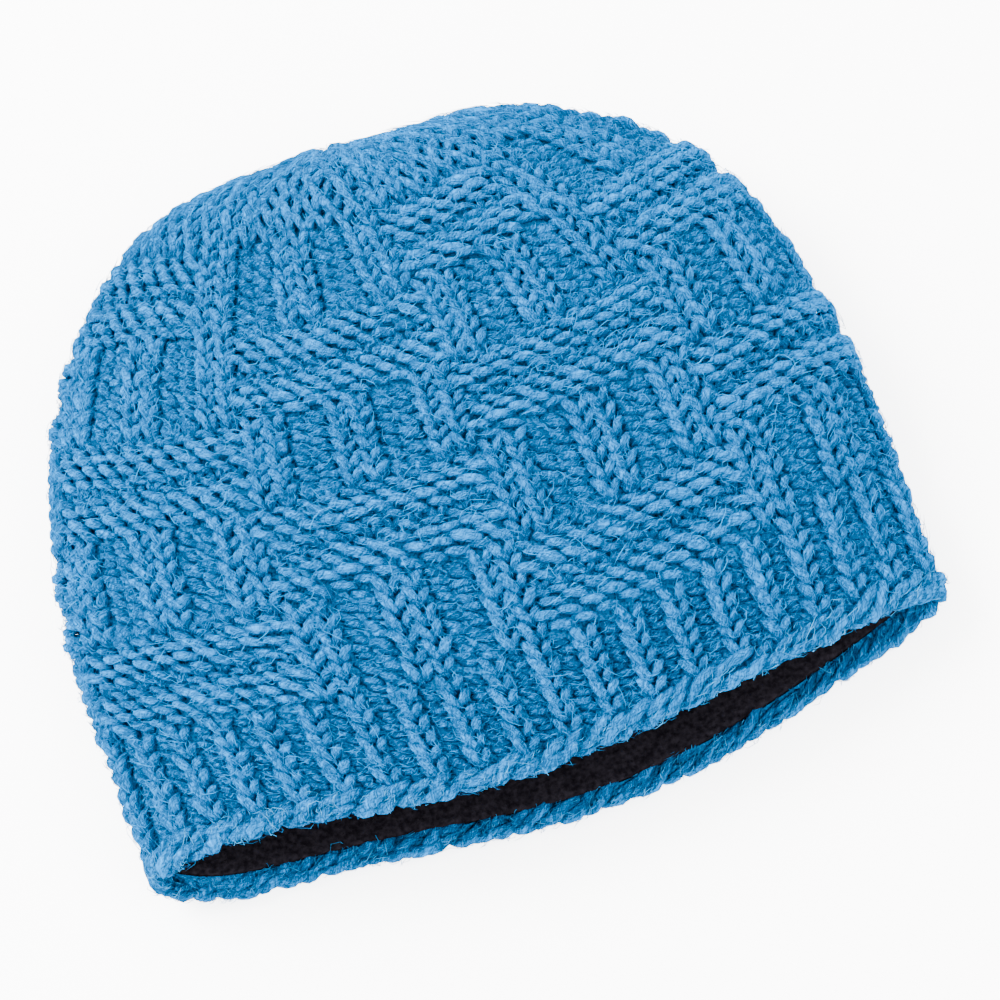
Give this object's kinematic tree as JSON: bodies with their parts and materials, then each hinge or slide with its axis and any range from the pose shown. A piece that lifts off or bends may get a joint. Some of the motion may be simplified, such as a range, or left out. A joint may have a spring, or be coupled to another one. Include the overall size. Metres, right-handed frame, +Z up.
{
  "type": "knitted beanie",
  "caption": "Hand-knitted dome beanie lying on its back: ribbed brim with a rolled cast-on edge, basketweave body, gathered crown and a fleece band inside the open mouth.",
  "frame": {"origin": "on the surface that the hat lies on, under the middle of its box", "axes": "+X across the mouth, +Y from the mouth to the crown, +Z up from the surface"},
  "size_m": [0.2421, 0.2118, 0.0574],
  "materials": {
    "knit_wool": "matte, hairy two-ply wool in stitches",
    "black_fleece": "matte napped fleece"
  },
  "bodies": {
    "root": {"cast_on_edge": "knit_wool", "rib_brim": "knit_wool", "basketweave_body": "knit_wool", "crown_top": "knit_wool", "fleece_lining": "black_fleece"}
  },
  "joints": []
}
